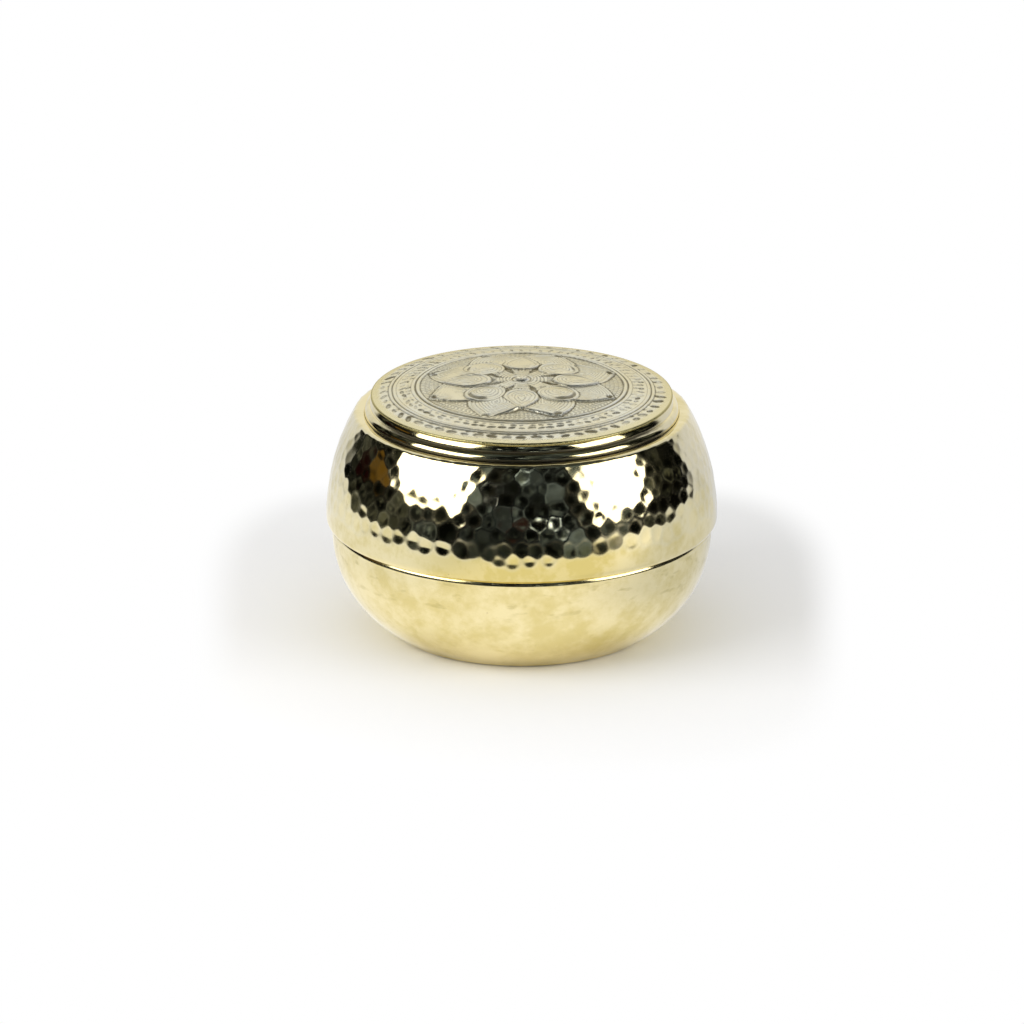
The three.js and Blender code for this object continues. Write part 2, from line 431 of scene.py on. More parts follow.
def make_dome():
    """The hammered dome: its outer face sunk along its normal by the hammer marks, its inner face plain.

    The hammer's relief is worked out on a grid of arc length by turn, finest where the marks are.
    """
    columns = BLOWS_ROUND * COLUMNS_A_BLOW
    profile = dome_outside()
    step = np.linalg.norm(np.diff(profile, axis=0), axis=1)
    length = np.concatenate([[0], np.cumsum(step)])
    belly, marked, crown = np.interp(
        [BELLY_HEIGHT, FIRST_ROW_HEIGHT - MARKS_BELOW, CROWN_CORNER[1]], profile[:, 1], length)
    stations = np.concatenate([
        np.linspace(0, belly, 8, endpoint=False),
        np.linspace(belly, marked, 3, endpoint=False),
        np.linspace(marked, crown, 76, endpoint=False),
        np.linspace(crown, length[-1] - (CROWN_EDGE_RADIUS - DOME_OPENING_RADIUS), 8),
        [length[-1]],
    ])
    outside = np.stack([np.interp(stations, length, profile[:, axis]) for axis in (0, 1)], axis=-1)
    inside = np.concatenate([
        [(DOME_OPENING_RADIUS, CROWN_HEIGHT - SHEET), (CROWN_EDGE_RADIUS, CROWN_HEIGHT - SHEET)],
        wall(lambda height: dome_radius(height, SHEET), CROWN_START - SHEET, BELLY_HEIGHT, steps=7),
        [(LID_RIM_RADIUS - SHEET, LID_RIM_HEIGHT + EASE), (LID_RIM_RADIUS - SHEET * 0.5, LID_RIM_HEIGHT)],
    ])
    first = np.interp(FIRST_ROW_HEIGHT, profile[:, 1], length)
    depth, ridge = hammered_depth(stations[:, None], turns(columns), outside[:, :1], first)
    fade = eased((crown + MARKS_PAST_CROWN - stations[:, None]) / MARKS_FADE)
    depth = depth * fade
    tangent = np.gradient(outside, axis=0)
    tangent /= np.linalg.norm(tangent, axis=1, keepdims=True)
    radii = outside[:, :1] - tangent[:, 1:] * depth
    heights = outside[:, 1:] + tangent[:, :1] * depth
    inner_radii, inner_heights = plain_rows(inside, columns)
    radii = np.concatenate([radii, inner_radii])
    heights = np.concatenate([heights, inner_heights])
    piece = woven("dome_hammered", turned_points(radii, heights, columns), closed=True)
    remember(piece, "ridge", np.concatenate([ridge * fade, np.zeros_like(inner_radii)]))
    return piece


CREASE_ANGLE = math.radians(38)


def make_collar():
    """The turned collar: a quarter round at its foot, a crease, and a swelling neck under the plate."""
    roll_start = math.asin((COLLAR_FOOT - ROLL_CENTRE[1]) / ROLL_RADIUS)
    neck_end = math.asin((COLLAR_TOP - NECK_SWELL_CENTRE[1]) / NECK_SWELL_RADIUS)
    profile = np.concatenate([
        [(COLLAR_BORE, (COLLAR_FOOT + COLLAR_TOP) / 2), (COLLAR_BORE, COLLAR_FOOT + EASE)],
        [(COLLAR_BORE + EASE, COLLAR_FOOT)],
        arc(ROLL_CENTRE, ROLL_RADIUS, roll_start, ROLL_END, steps=16),
        arc(NECK_SWELL_CENTRE, NECK_SWELL_RADIUS, NECK_SWELL_START, neck_end, steps=14),
        [(COLLAR_BORE + EASE, COLLAR_TOP), (COLLAR_BORE, COLLAR_TOP - EASE)],
    ])
    piece = turned_piece("collar_turned", profile, columns=512, closed=True)
    piece.data.set_sharp_from_angle(angle=CREASE_ANGLE)
    return piece


def plate_top(radius):
    """The plate's upper face at a radius before any relief: a shallow paraboloid."""
    return PLATE_SEAT + PLATE_SHEET + PLATE_RISE * (1 - (radius / PLATE_RADIUS) ** 2)


# The chased pattern. A place or size without a unit is a share of the plate's radius.

QUARTER = math.pi / 2
EIGHTH = math.pi / 4
PATTERN_SEED = 23
HAND_WANDER = 0.26 * MM
RING_WANDER = 0.06 * MM
WANDER_WAVES = 6
WANDER_SIZES = (1.4 * MM, 3.8 * MM)

# Chased lines: how far off each lies, its half width, how high it stands and how dark it is
RIBBON = 1.0 * MM
OUTER_GROOVE = (-0.3 * MM, 0.26 * MM, -0.16 * MM, 0.72)
RIBBON_CREST = (RIBBON / 2, 0.3 * MM, 0.18 * MM, 0)
INNER_GROOVE = (RIBBON, 0.2 * MM, -0.12 * MM, 0.6)
# The groove round a boss, the dirt in it, and painted shade on its steep wall
BOSS_LINES = (
    (0, 0.3 * MM, -0.1 * MM, 0),
    (0, 0.26 * MM, 0, 0.35),
    (0.4 * MM, 0.4 * MM, 0, 0.75),
)
# A stem and the line beside it
STEM_LINES = (
    (0, 0.3 * MM, 0.12 * MM, 0),
    (0.6 * MM, 0.24 * MM, 0, 0.3),
)
# The ring and the moat round the button, and a border ring with its flanks
BUTTON_RIDGE = (0, 0.4 * MM, 0.25 * MM, 0)
MOAT = (0, 0.34 * MM, -0.15 * MM, 0.4)
RING_CREST = (0, 0.4 * MM, 0.28 * MM, 0)
RING_FLANK = (0.62 * MM, 0.24 * MM, -0.1 * MM, 0.85)

TIER_STEP = 0.5 * MM
SWELL = 0.12 * MM
SWELL_REACH = 5 * MM
HATCHING_GAP = 0.4 * MM

GROUND_START = 0.45
GROUND_START_FADE = 0.05
GROUND_END = 0.676
GROUND_END_FADE = 0.008
GROUND_DEPTH = 0.14 * MM
GROUND_DARK = 0.2

PETALS = 8
PETAL_LEVEL = 0.12 * MM
PETAL_SHOULDER = 0.45
PETAL_TIP = 0.668
PETAL_HALF_WIDTH = 0.187
PETAL_FULLNESS = 1.6
PETAL_TILT = math.radians(2.8)
PETAL_HINGE = 0.5
PETAL_HIDDEN = 0.08
HOLE_AT = 0.632
HOLE_EASE = 1.6
HOLE_RADIUS = 0.8 * MM
HOLE_OVAL = 0.7
HOLE_DEPTH = 0.45 * MM
HOLE_DARK = 1.1

LOBE_LEVEL = 0.22 * MM
LOBE_CENTRE = 0.345
LOBE_RADIUS = 0.135
BOSS_RADIUS = 0.108
BOSS_HEIGHT = 0.5 * MM
BOSS_WALL = 1.0 * MM
BOSS_GENTLE_WALL = 4.0 * MM
BOSS_STEEP_FROM = 0.25
BOSS_STEEP_FADE = 0.5
BOSS_PLAIN_AT = 0.3 * MM
BOSS_PLAIN_HALF_WIDTH = 0.8 * MM

TEARDROP_LEVEL = 0.42 * MM
TEARDROP_INNER = 0.205
TEARDROP_MIDDLE = 0.335
TEARDROP_TIP = 0.515
TEARDROP_HALF_WIDTH = 0.115
TEARDROP_FULLNESS = 0.9
TEARDROP_SLANT = 0.8

MIDDLE = 0.21
MIDDLE_FADE = 0.05
MIDDLE_LEVEL = 0.2 * MM
MIDDLE_LINES_FROM = 1.6 * MM
MIDDLE_DARK = 0.1
MIDDLE_DARK_SPREAD = 0.12
LEAVES = 8
LEAF_ROW = 0.205
LEAF_HALF_LENGTH = 0.082
LEAF_HALF_WIDTH = 0.03
LEAF_BEND = 0.3
LEAF_BEND_WAVES = 9
LEAF_WALL = 0.5 * MM
LEAF_DEPTH = 0.34 * MM
LEAF_DARK = (0.35, 0.9)

BUTTON = 0.05
BUTTON_RING = 0.078
STEM_START = 0.45 * MM
STEM_SPREAD = 7.2 * MM
STEM_FADE = 0.02

# The border rings, each with its force
RINGS = ((0.69, 1.0), (0.722, 0.75), (0.846, 0.7), (0.872, 1.0))

# Each circle of punch marks: its radius, count, half length, half width, seed, lean and force
PUNCH_CIRCLES = (
    (0.794, 76, 1.15 * MM, 0.48 * MM, 31, 1.5, 0.88),
    (0.757, 76, 0.8 * MM, 0.36 * MM, 32, 1.5, 0.75),
    (0.924, 60, 1.4 * MM, 0.66 * MM, 33, 1.2, 1.02),
    (0.894, 60, 0.7 * MM, 0.34 * MM, 34, 0.8, 0.5),
)
PUNCH_STRAY_TURN = 0.28
PUNCH_STRAY_ROUND = 0.2 * MM
PUNCH_STRAY_OUT = 0.14 * MM
PUNCH_SIZES = (0.78, 1.2)
PUNCH_FORCES = (0.6, 1.25)
PUNCH_UPRIGHT_AT = -1.8
PUNCH_DEPTH = 0.3 * MM
PUNCH_BURR = 0.1 * MM
PUNCH_FLOOR_DARK = 0.6
# In shares of a mark's half sizes: where it ends and how softly, and where its dark outline and its burr lie
MARK_END = 1.3
MARK_FADE = 0.7
MARK_OUTLINE = (0.9, 0.35)
MARK_BURR = (1.7, 0.5)

MARGIN_START = 0.963
MARGIN_FADE = 0.012


def wander(x, y, seed):
    """A smooth drift of the hand, mostly below one: a third of the sum of six plane waves 9 to 24 mm long."""
    rng = np.random.default_rng(seed)
    headings = rng.uniform(0, 6.28, WANDER_WAVES)
    sizes = rng.uniform(*WANDER_SIZES, WANDER_WAVES)
    starts = rng.uniform(0, 6.28, WANDER_WAVES)
    total = 0
    for heading, size, start in zip(headings, sizes, starts):
        total = total + np.sin((x * math.cos(heading) + y * math.sin(heading)) / size + start)
    return total / 3


def sector(share, turn, first, period):
    """A place as seen from the middle line of the sector it is in, where sectors repeat by a period.

    Gives how far out it lies along that line, share * cos(off), how far across it, share * sin(off),
    the turn `off` itself, and the sector's number.
    """
    off = wrapped(turn - first, period)
    number = np.round((turn - first) / period).astype(int) % round(math.tau / period)
    return share * np.cos(off), share * np.sin(off), off, number


def chase(height, dark, distance, line, force=1):
    """Adds a line to a relief and to its darkness, in place: a bell curve of the distance, times a force."""
    at, half_width, rise, darkness = line
    section = force * bell(distance - at, half_width)
    height += rise * section
    dark += darkness * section


def lay(pattern, edge, level):
    """Lays one tier of the rosette over the pattern. `edge` is the depth inside its outline, in metres.

    The face steps up across the outline, a smooth cubic of `edge`, and swells inwards with its square root.
    A raised ribbon runs along the outline between two chased grooves, all three bell curves of `edge`.
    The ground's hatching fades just outside it.
    """
    height, dark, hatched, grain = pattern
    inside = eased(edge / TIER_STEP + 0.5)
    swell = SWELL * np.sqrt(np.clip((edge - RIBBON) / SWELL_REACH, 0, 1))
    height = height * (1 - inside) + (level + swell) * inside
    dark = dark * (1 - inside)
    chase(height, dark, edge, OUTER_GROOVE)
    chase(height, dark, edge, RIBBON_CREST, inside)
    chase(height, dark, edge, INNER_GROOVE, inside)
    hatched = hatched * (1 - eased(edge / HATCHING_GAP + 0.9))
    return height, dark, hatched, np.where(edge > 0, edge, grain)


def lay_petals(pattern, share, turn, rng):
    """Eight pointed petals, each tilted a little its own way, with a hole punched near its tip.

    A petal widens in proportion as far as its shoulder. From there its half width falls as
    1 - beyond^fullness, where `beyond` is 0 at the shoulder and 1 at the tip.
    """
    along, across, _, number = sector(share, turn, EIGHTH / 2, EIGHTH)
    length = PETAL_TIP - PETAL_SHOULDER
    beyond = np.clip((along - PETAL_SHOULDER) / length, 0, 2)
    taper = PETAL_HALF_WIDTH * (1 - beyond**PETAL_FULLNESS)
    slope = PETAL_HALF_WIDTH * PETAL_FULLNESS * beyond ** (PETAL_FULLNESS - 1) / length
    half = np.where(beyond > 0, taper, along * math.tan(EIGHTH / 2))
    edge = (half - np.abs(across)) * PLATE_RADIUS / np.sqrt(1 + slope**2)
    tip_lift, side_lift = rng.normal(0, PETAL_TILT, (2, PETALS))
    lift = tip_lift[number] * np.maximum(along - PETAL_HINGE, -PETAL_HIDDEN) + side_lift[number] * across
    height, dark, hatched, grain = lay(pattern, edge, PETAL_LEVEL + lift * PLATE_RADIUS)
    from_hole = np.hypot(along - HOLE_AT, across * HOLE_OVAL) * PLATE_RADIUS
    hole = eased(HOLE_EASE - from_hole / HOLE_RADIUS)
    return height - HOLE_DEPTH * hole, dark + HOLE_DARK * hole, hatched, grain


def lay_lobes(pattern, share, turn):
    """Four round lobes on the diagonals, each with a boss: steep on its outer side with painted shade there,
    gentle inwards.

    `outer` is 1 where the direction from the lobe's centre points outwards and 0 where it points inwards.
    """
    along, across, _, _ = sector(share, turn, EIGHTH, QUARTER)
    from_centre = np.hypot(along - LOBE_CENTRE, across)
    height, dark, hatched, grain = lay(pattern, (LOBE_RADIUS - from_centre) * PLATE_RADIUS, LOBE_LEVEL)
    boss = (BOSS_RADIUS - from_centre) * PLATE_RADIUS
    outwards = (along - LOBE_CENTRE) / (from_centre + 0.01)
    outer = eased((outwards - BOSS_STEEP_FROM) / BOSS_STEEP_FADE)
    rise = eased(boss / BOSS_WALL) * outer + eased(boss / BOSS_GENTLE_WALL) * (1 - outer)
    height += BOSS_HEIGHT * rise
    # The last of these lines is painted shade on the steep outer wall
    for line in BOSS_LINES:
        chase(height, dark, boss, line, outer)
    grain = grain * (1 - outer * bell(boss - BOSS_PLAIN_AT, BOSS_PLAIN_HALF_WIDTH))
    return height, dark, hatched, grain


def lay_teardrops(pattern, share, turn):
    """Four teardrops on the axes: half an ellipse towards the plate's middle, and a point outwards.

    The point's half width falls as (1 - fore) * (1 + fullness * fore), where `fore` is 1 at the tip.
    """
    along, across, _, _ = sector(share, turn, 0, QUARTER)
    across = np.abs(across)
    back = (TEARDROP_MIDDLE - along) / (TEARDROP_MIDDLE - TEARDROP_INNER)
    fore = (along - TEARDROP_MIDDLE) / (TEARDROP_TIP - TEARDROP_MIDDLE)
    point = TEARDROP_HALF_WIDTH * (1 - fore) * (1 + TEARDROP_FULLNESS * fore)
    ellipse = 1 - np.hypot(back, across / TEARDROP_HALF_WIDTH)
    inside = np.where(fore > 0, (point - across) * TEARDROP_SLANT, ellipse * TEARDROP_HALF_WIDTH)
    return lay(pattern, inside * PLATE_RADIUS, TEARDROP_LEVEL)


def sink_leaves(share, turn, rng):
    """Eight slender leaves sunk round the middle: how far each place lies in one, and how dark it is.

    The half width is a parabola of the place along the leaf, and a sine of the turn bends the leaf a little.
    """
    along, across, off, number = sector(share, turn, EIGHTH / 2, EIGHTH)
    fill = rng.uniform(*LEAF_DARK, LEAVES)[number]
    half = LEAF_HALF_WIDTH * (1 - ((along - LEAF_ROW) / LEAF_HALF_LENGTH) ** 2)
    bent_across = across + LEAF_BEND * LEAF_HALF_WIDTH * np.sin(off * LEAF_BEND_WAVES)
    leaf = eased((half - np.abs(bent_across)) * PLATE_RADIUS / LEAF_WALL + 0.2)
    return leaf, leaf * fill


def punched(turn, radius, row, count, half_length, half_width, seed, lean):
    """A circle of oval punch marks: how deep each place lies in one, how near its outline, and its burr.

    A mark is eased off with the elliptic distance hypot(along / half length, across / half width) from its
    middle. Its long side follows the circle, or is turned out of it by `lean` times a raised cosine of the
    turn, and each mark strays a little in place, turn, size and force.
    """
    rng = np.random.default_rng(seed)
    spacing = 2 * math.pi / count
    number = np.round(turn / spacing).astype(int) % count
    leaning = lean * (1 - np.cos(np.arange(count) * spacing - PUNCH_UPRIGHT_AT)) / 2
    angle = (rng.normal(0, PUNCH_STRAY_TURN, count) + leaning)[number]
    east = wrapped(turn, spacing) * radius - rng.normal(0, PUNCH_STRAY_ROUND, count)[number]
    north = radius - row * PLATE_RADIUS - rng.normal(0, PUNCH_STRAY_OUT, count)[number]
    size = rng.uniform(*PUNCH_SIZES, count)[number]
    force = rng.uniform(*PUNCH_FORCES, count)[number]
    along = (east * np.cos(angle) + north * np.sin(angle)) / half_length
    across = (north * np.cos(angle) - east * np.sin(angle)) / half_width
    away = np.hypot(along, across) / size
    mark = eased((MARK_END - away) / MARK_FADE)
    outline, burr = (bell(away - at, half_width) for at, half_width in (MARK_OUTLINE, MARK_BURR))
    return mark * force, outline * force, burr * force


def plate_relief(radius, turn):
    """The chased pattern at each radius and turn: its height, its darkness, its hatching and its grain.

    Three tiers of petals lie one on another. A tier is a region with a depth inside its outline, which the
    grain keeps for the fine lines that follow the outline. The borders are rings and oval punch marks
    repeated round the axis. The place itself drifts a little, so no line is quite true.
    """
    rng = np.random.default_rng(PATTERN_SEED)
    x = radius * np.cos(turn)
    y = radius * np.sin(turn)
    ring_radius = radius + RING_WANDER * wander(x, y, seed=8)
    moved_x = x + HAND_WANDER * wander(x, y, seed=5)
    moved_y = y + HAND_WANDER * wander(x, y, seed=6)
    radius = np.hypot(moved_x, moved_y)
    turn = np.arctan2(moved_y, moved_x)
    share = radius / PLATE_RADIUS

    # Sunk and hatched ground between the petals and the first ring
    hatched = eased((share - GROUND_START) / GROUND_START_FADE)
    hatched *= eased((GROUND_END - share) / GROUND_END_FADE)
    pattern = (-GROUND_DEPTH * hatched, GROUND_DARK * hatched, hatched, np.zeros_like(share))

    pattern = lay_petals(pattern, share, turn, rng)
    pattern = lay_lobes(pattern, share, turn)
    height, dark, hatched, grain = lay_teardrops(pattern, share, turn)

    # A level middle, unevenly tarnished, with fine lines that ring the button
    middle = eased((MIDDLE - share) / MIDDLE_FADE)
    height = height * (1 - middle) + MIDDLE_LEVEL * middle
    uneven = MIDDLE_DARK + MIDDLE_DARK_SPREAD * wander(moved_x, moved_y, seed=9)
    dark = dark * (1 - middle) + uneven * middle
    grain = grain * (1 - middle) + (radius + MIDDLE_LINES_FROM) * middle
    leaf, leaf_dark = sink_leaves(share, turn, rng)
    height -= LEAF_DEPTH * leaf
    dark += leaf_dark

    # A pair of raised stems, with a line beside each, from the button's ring to every teardrop
    _, across, _, _ = sector(share, turn, 0, QUARTER)
    from_stem = np.abs(across) * PLATE_RADIUS - (STEM_START + STEM_SPREAD * share)
    reach = eased((TEARDROP_INNER - share) / STEM_FADE) * eased((share - BUTTON_RING) / STEM_FADE)
    for line in STEM_LINES:
        chase(height, dark, from_stem, line, reach)

    # The flat-topped button, the moat round it, and its ring
    chase(height, dark, (share - BUTTON_RING) * PLATE_RADIUS, BUTTON_RIDGE)
    chase(height, dark, (share - (BUTTON + BUTTON_RING) / 2) * PLATE_RADIUS, MOAT)
    crest = PLATE_CREST - plate_top(0)
    button = np.clip(1 - (share / BUTTON) ** 4, 0, 1)
    height = np.where(share < BUTTON, MIDDLE_LEVEL + (crest - MIDDLE_LEVEL) * button, height)

    for at, force in RINGS:
        away = ring_radius - at * PLATE_RADIUS
        chase(height, dark, away, RING_CREST, force)
        chase(height, dark, np.abs(away), RING_FLANK, force)

    for *mark_sizes, force in PUNCH_CIRCLES:
        mark, outline, burr = punched(turn, ring_radius, *mark_sizes)
        height += force * (PUNCH_BURR * burr - PUNCH_DEPTH * mark)
        dark += force * np.maximum(mark * PUNCH_FLOOR_DARK, outline)
    keep = 1 - eased((share - MARGIN_START) / MARGIN_FADE)
    return height * keep, np.clip(dark * keep, 0, 1), hatched, grain


def make_plate():
    """The chased plate: a flat seat, a cut edge, and the domed face with its relief, centre last."""
    columns = 640
    arris = PLATE_SHEET * 0.48
    rim = PLATE_RADIUS - arris
    rim_top = plate_top(PLATE_RADIUS)
    plain = np.concatenate([
        [(radius, plate_top(radius) - PLATE_SHEET) for radius in (POLE_RING, 16 * MM, 30 * MM)],
        [(COLLAR_BORE, PLATE_SEAT)],
        curve((rim, PLATE_SEAT), (PLATE_RADIUS, PLATE_SEAT), (PLATE_RADIUS, PLATE_SEAT + arris), steps=6),
        curve((PLATE_RADIUS, rim_top - arris), (PLATE_RADIUS, rim_top), (rim, plate_top(rim)), steps=6),
    ])
    margin = 0.975 * PLATE_RADIUS
    border = RINGS[0][0] * PLATE_RADIUS
    face_radii = np.concatenate([
        np.linspace(rim - 0.3 * MM, margin, 4, endpoint=False),
        np.linspace(margin, border, 44, endpoint=False),
        np.linspace(border, 0.5 * MM, 88),
    ])[:, None]
    relief, dark, hatched, grain = plate_relief(face_radii, turns(columns))
    plain_radii, plain_heights = plain_rows(plain, columns)
    radii = np.concatenate([plain_radii, np.repeat(face_radii, columns, axis=1)])
    heights = np.concatenate([plain_heights, plate_top(face_radii) + relief])
    piece = woven("plate_chased", turned_points(radii, heights, columns),
                  (0, 0, plate_top(0) - PLATE_SHEET), (0, 0, PLATE_CREST))
    bare = np.zeros_like(plain_radii)
    for name, values in (("tarnish_and_shade", dark), ("hatching", hatched), ("grain", grain)):
        remember(piece, name, np.concatenate([bare, values]), poles=2)
    return piece


# Finishes


class Shade:
    """A socket that takes part in sums: + - * / with another socket or a number adds a Math node."""

    def __init__(self, tree, socket):
        self.tree = tree
        self.socket = socket

    def math(self, operation, other=None, swap=False):
        """A Math node on this value and another one, or on the two the other way round."""
        node = self.tree.nodes.new("ShaderNodeMath")
        node.operation = operation
        values = [other, self] if swap else [self, other]
        for slot, value in zip(node.inputs, values):
            if isinstance(value, Shade):
                self.tree.links.new(value.socket, slot)
            elif value is not None:
                slot.default_value = value
        return Shade(self.tree, node.outputs[0])

    def __add__(self, other):
        return self.math("ADD", other)

    __radd__ = __add__

    def __sub__(self, other):
        return self.math("SUBTRACT", other)

    def __rsub__(self, other):
        return self.math("SUBTRACT", other, swap=True)

    def __mul__(self, other):
        return self.math("MULTIPLY", other)

    __rmul__ = __mul__

    def __truediv__(self, other):
        return self.math("DIVIDE", other)


class Nodes:
    """A node tree being written: node() makes any node, and the rest are short names for common ones."""

    def __init__(self, tree):
        self.tree = tree

    def node(self, kind, settings=None, inputs=None, output=0):
        """One node of a type, its settings set first, then the values or links of its sockets."""
        made = self.tree.nodes.new(kind)
        for key, value in (settings or {}).items():
            setattr(made, key, value)
        for key, value in (inputs or {}).items():
            if isinstance(value, Shade):
                self.tree.links.new(value.socket, made.inputs[key])
            else:
                made.inputs[key].default_value = value
        return Shade(self.tree, made.outputs[output])

    def place(self):
        """Where a point lies on its object, in metres."""
        return self.node("ShaderNodeTexCoord", output="Object")

    def parts(self, vector):
        """The x, y and z of a vector."""
        split = self.node("ShaderNodeSeparateXYZ", inputs={"Vector": vector}).socket.node
        return [Shade(self.tree, socket) for socket in split.outputs]

    def window(self, value, low, high, soft):
        """1 between low and high, 0 outside, eased over `soft` on either side."""
        return self.ramp(value, low - soft, low + soft) * (1 - self.ramp(value, high - soft, high + soft))

    def ray_kinds(self, *kinds):
        """For each kind of ray, such as "Is Glossy Ray", a value that is 1 when such a ray looks here."""
        path = self.tree.nodes.new("ShaderNodeLightPath")
        return [Shade(self.tree, path.outputs[kind]) for kind in kinds]

    def noise(self, size, detail=3.0, roughness=0.5, stretch=(1, 1, 1), seed=0.0):
        """Soft noise from 0 to 1, whose blotches are about `size` metres across."""
        at = self.node("ShaderNodeMapping", inputs={
            "Vector": self.place(), "Scale": stretch, "Location": (seed, seed / 2, -seed)})
        return self.node("ShaderNodeTexNoise", inputs={
            "Vector": at, "Scale": 1 / size, "Detail": detail, "Roughness": roughness})

    def ramp(self, value, low, high):
        """0 below low, 1 above high, eased between."""
        return self.node("ShaderNodeMapRange", {"interpolation_type": "SMOOTHSTEP"},
                         {"Value": value, "From Min": low, "From Max": high})

    def blend(self, factor, first, second):
        """A colour between two colours."""
        return self.node("ShaderNodeMix", {"data_type": "RGBA"}, {0: factor, 6: first, 7: second}, output=2)

    def stored(self, name):
        """A number that the mesh stores at each vertex."""
        return self.node("ShaderNodeAttribute", {"attribute_name": name}, output="Fac")

    def bump(self, height, distance, strength):
        """A normal for a surface whose height varies by `distance` metres."""
        inputs = {"Height": height, "Distance": distance, "Strength": strength}
        return self.node("ShaderNodeBump", inputs=inputs)


def metal(name, write):
    """A metal finish. `write` is given the nodes and returns the links for the metal's sockets."""
    material = bpy.data.materials.new(name)
    material.use_nodes = True
    tree = material.node_tree
    bsdf = next(n for n in tree.nodes if n.type == "BSDF_PRINCIPLED")
    bsdf.inputs["Metallic"].default_value = 1.0
    for socket, value in write(Nodes(tree)).items():
        if isinstance(value, Shade):
            tree.links.new(value.socket, bsdf.inputs[socket])
        else:
            bsdf.inputs[socket].default_value = value
    return material


BRASS = (0.965, 0.84, 0.47, 1)
BRASS_WARM = (0.74, 0.61, 0.22, 1)
BRASS_PALE = (0.92, 0.86, 0.62, 1)
BRASS_OLIVE = (0.5, 0.42, 0.14, 1)
BRASS_DULL = (0.62, 0.5, 0.24, 1)
BRASS_BROWN = (0.36, 0.2, 0.07, 1)
# The dark brown-grey of painted shade at the collar's foot, in its crease and on the ledge beside it
CREASE_SHADE_COLOUR = (0.12, 0.105, 0.07, 1)
SPECK_SIZE = 1.5 * MM
POLISH_RELIEF = 0.02 * MM

# Heights of the bowl between which a look fades, and how far out its low sides start to turn darker and
# warmer
OLIVE_BAND = (22 * MM, 33 * MM)
LOW_SIDES_HEIGHT = (9 * MM, 22 * MM)
LOW_SIDES_REACH = (10 * MM, 32 * MM)
LOW_LINES_HEIGHT = (4 * MM, 13 * MM)

# Where the lid's smooth lower band is rubbed, and where shade is painted on the ledge under the collar
RUBBED_HEIGHT = (FIRST_ROW_HEIGHT, FIRST_ROW_HEIGHT + 8 * MM)
RUBBED_WIDTH = (-30 * MM, 28 * MM)
LEDGE_HEIGHT = (CROWN_HEIGHT - 1 * MM, CROWN_HEIGHT - 0.4 * MM)
LEDGE_SHADE_EDGE = (49.4 * MM, 50.4 * MM)

# Painted shade at the front of the collar's foot and of its crease, and how far in front of the axis it
# starts to show
FOOT_SHADE_HEIGHT = (COLLAR_FOOT + 0.4 * MM, COLLAR_FOOT + 0.9 * MM)
CREASE_HEIGHT = ROLL_CENTRE[1] + ROLL_RADIUS * math.sin(ROLL_END)
SHADED_FRONT = (14 * MM, 30 * MM)


def specked(nodes, colour, amount, seed):
    """A colour with a few brown specks, where a fine noise peaks."""
    specks = nodes.ramp(nodes.noise(SPECK_SIZE, detail=2.0, seed=seed), 0.73, 0.8)
    return nodes.blend(specks * amount, colour, BRASS_BROWN)


def spun_brass(nodes):
    """Spun and polished brass with soft warm smudges, faint turning lines and a few brown specks.

    It is streaked with olive below the rim, and warmer low on its left and right.
    """
    broad = nodes.noise(19 * MM)
    middle = nodes.noise(6 * MM, roughness=0.55, seed=3.1)
    fine = nodes.noise(1.6 * MM, roughness=0.55, seed=6.6)
    x, _, z = nodes.parts(nodes.place())
    warmth = nodes.ramp(broad * 0.5 + middle * 0.38 + fine * 0.12, 0.4, 0.62)
    low_sides = (1 - nodes.ramp(z, *LOW_SIDES_HEIGHT)) * nodes.ramp(x.math("ABSOLUTE"), *LOW_SIDES_REACH)
    warm_share = (warmth * 0.7 + low_sides * 0.42).math("MINIMUM", 1.0)
    colour = nodes.blend(warm_share, BRASS, BRASS_WARM)
    streaks = nodes.noise(8 * MM, stretch=(1, 1, 2.6), seed=2.4)
    olive = nodes.ramp(streaks, 0.56, 0.72) * nodes.window(z, *OLIVE_BAND, soft=5 * MM)
    colour = nodes.blend(olive * 0.55, colour, BRASS_OLIVE)
    colour = specked(nodes, colour, 0.35, seed=7.7)
    lines = nodes.noise(2.0 * MM, detail=2.0, roughness=0.6, stretch=(0.04, 0.04, 5.0), seed=1.3)
    low_lines = lines * (1 - nodes.ramp(z, *LOW_LINES_HEIGHT)) * 2.0
    return {
        "Base Color": colour,
        "Roughness": 0.09 + fine * 0.05 + warmth * 0.07,
        "Normal": nodes.bump(lines + low_lines + middle * 2.0, POLISH_RELIEF, strength=0.4),
    }


